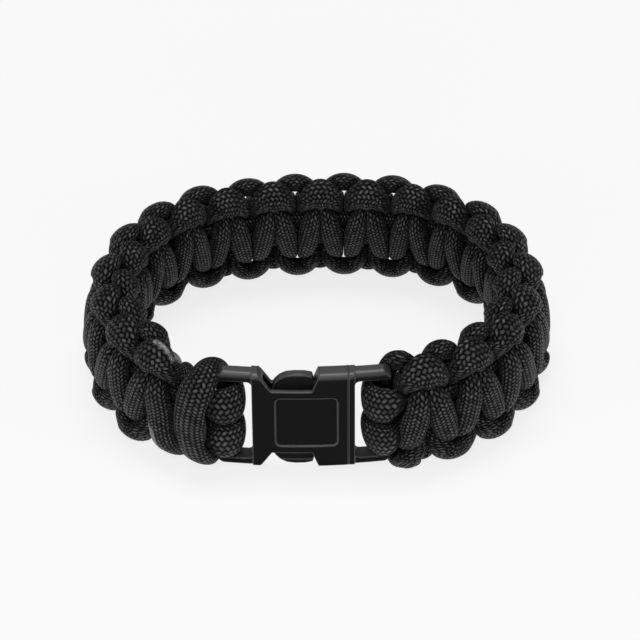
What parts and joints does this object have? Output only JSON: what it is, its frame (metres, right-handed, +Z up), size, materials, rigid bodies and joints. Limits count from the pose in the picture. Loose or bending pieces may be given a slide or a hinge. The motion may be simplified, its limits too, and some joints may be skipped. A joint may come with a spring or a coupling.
{
  "type": "paracord bracelet",
  "caption": "Cobra weave cord bracelet closed by a curved side release buckle, fastened and standing on its edge.",
  "frame": {"origin": "middle of the bracelet's footprint, on the surface it stands on", "axes": "+Z up through the wrist hollow, -Y towards the buckle, +X along the buckle from socket to plug"},
  "size_m": [0.0808, 0.0616, 0.0214],
  "materials": {
    "buckle": "moulded acetal, satin black",
    "cord": "braided nylon sheath, black"
  },
  "bodies": {
    "root": {"buckle_socket": "buckle", "buckle_plug": "buckle", "core_cord": "cord", "working_cord_outer": "cord", "working_cord_inner": "cord"}
  },
  "joints": []
}
